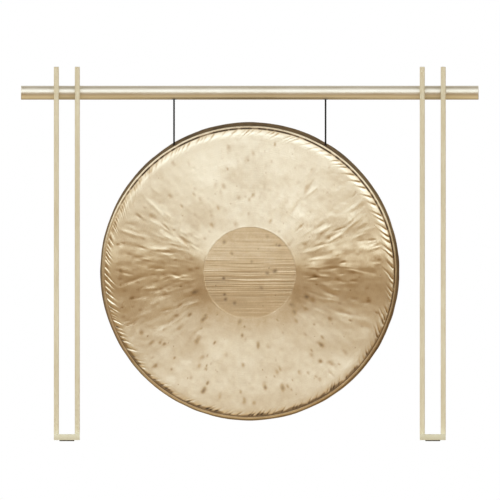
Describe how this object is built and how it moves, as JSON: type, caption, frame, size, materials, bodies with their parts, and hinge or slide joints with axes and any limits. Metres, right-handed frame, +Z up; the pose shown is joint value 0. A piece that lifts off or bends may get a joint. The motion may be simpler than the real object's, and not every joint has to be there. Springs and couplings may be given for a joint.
{
  "type": "tam tam gong",
  "caption": "Hammered bronze tam tam with a turned-back rim, hanging on two short cords from a round crossbar held by paired flat posts on flat feet.",
  "frame": {"origin": "on the floor, below the middle of the crossbar, where the foot pads stand", "axes": "+Z up, +X along the crossbar to the right, the gong faces -Y"},
  "size_m": [0.918, 0.28, 0.751],
  "materials": {
    "crossbar_metal": "satin champagne gold anodised, polished along the tube",
    "post_metal": "satin pale champagne",
    "foot_metal": "satin pale champagne",
    "pad_rubber": "matt dark grey brown",
    "screw_steel": "zinc plated",
    "bush_nylon": "black nylon",
    "cord_black": "tightly braided black cord",
    "gong_bronze": "hammered and lathed pale bronze, darker rim"
  },
  "bodies": {
    "stand": {"crossbar_tube": "crossbar_metal", "crossbar_plug_left": "crossbar_metal", "crossbar_plug_right": "crossbar_metal", "post_left_outer": "post_metal", "post_left_inner": "post_metal", "post_right_inner": "post_metal", "post_right_outer": "post_metal", "foot_left": "foot_metal", "foot_right": "foot_metal", "foot_pad_left_front": "pad_rubber", "foot_pad_left_back": "pad_rubber", "foot_pad_right_front": "pad_rubber", "foot_pad_right_back": "pad_rubber", "post_screws": "screw_steel", "tube_grub_screws": "screw_steel", "cord_bush_left": "bush_nylon", "cord_bush_right": "bush_nylon"},
    "top_knots": {"top_knot_left": "cord_black", "top_knot_right": "cord_black"},
    "cord_left": {"cord_left": "cord_black"},
    "cord_right": {"cord_right": "cord_black"},
    "rim_knots": {"rim_knot_left": "cord_black", "rim_knot_right": "cord_black"},
    "gong": {"gong": "gong_bronze"}
  },
  "joints": [
    {"name": "gong_swing", "type": "hinge", "parent": "stand", "child": "top_knots", "pos_m": [0, 0, 0.69], "axis": [1, 0, 0], "range_deg": [-20, 20]},
    {"name": "gong_sway", "type": "hinge", "parent": "top_knots", "child": "cord_left", "pos_m": [-0.152, 0, 0.69], "axis": [0, 1, 0], "range_deg": [-12, 12]},
    {"name": "right_cord_sway", "type": "hinge", "parent": "top_knots", "child": "cord_right", "pos_m": [0.152, 0, 0.69], "axis": [0, 1, 0], "range_deg": [-12, 12]},
    {"name": "gong_level", "type": "hinge", "parent": "cord_left", "child": "rim_knots", "pos_m": [-0.152, 0, 0.59404], "axis": [0, 1, 0], "range_deg": [-12, 12]},
    {"name": "gong_tilt", "type": "hinge", "parent": "rim_knots", "child": "gong", "pos_m": [0, 0, 0.59404], "axis": [1, 0, 0], "range_deg": [-15, 15]}
  ],
  "couplings": [
    {"joint": "right_cord_sway", "follows": "gong_sway", "ratio": 1},
    {"joint": "gong_level", "follows": "gong_sway", "ratio": -1}
  ]
}
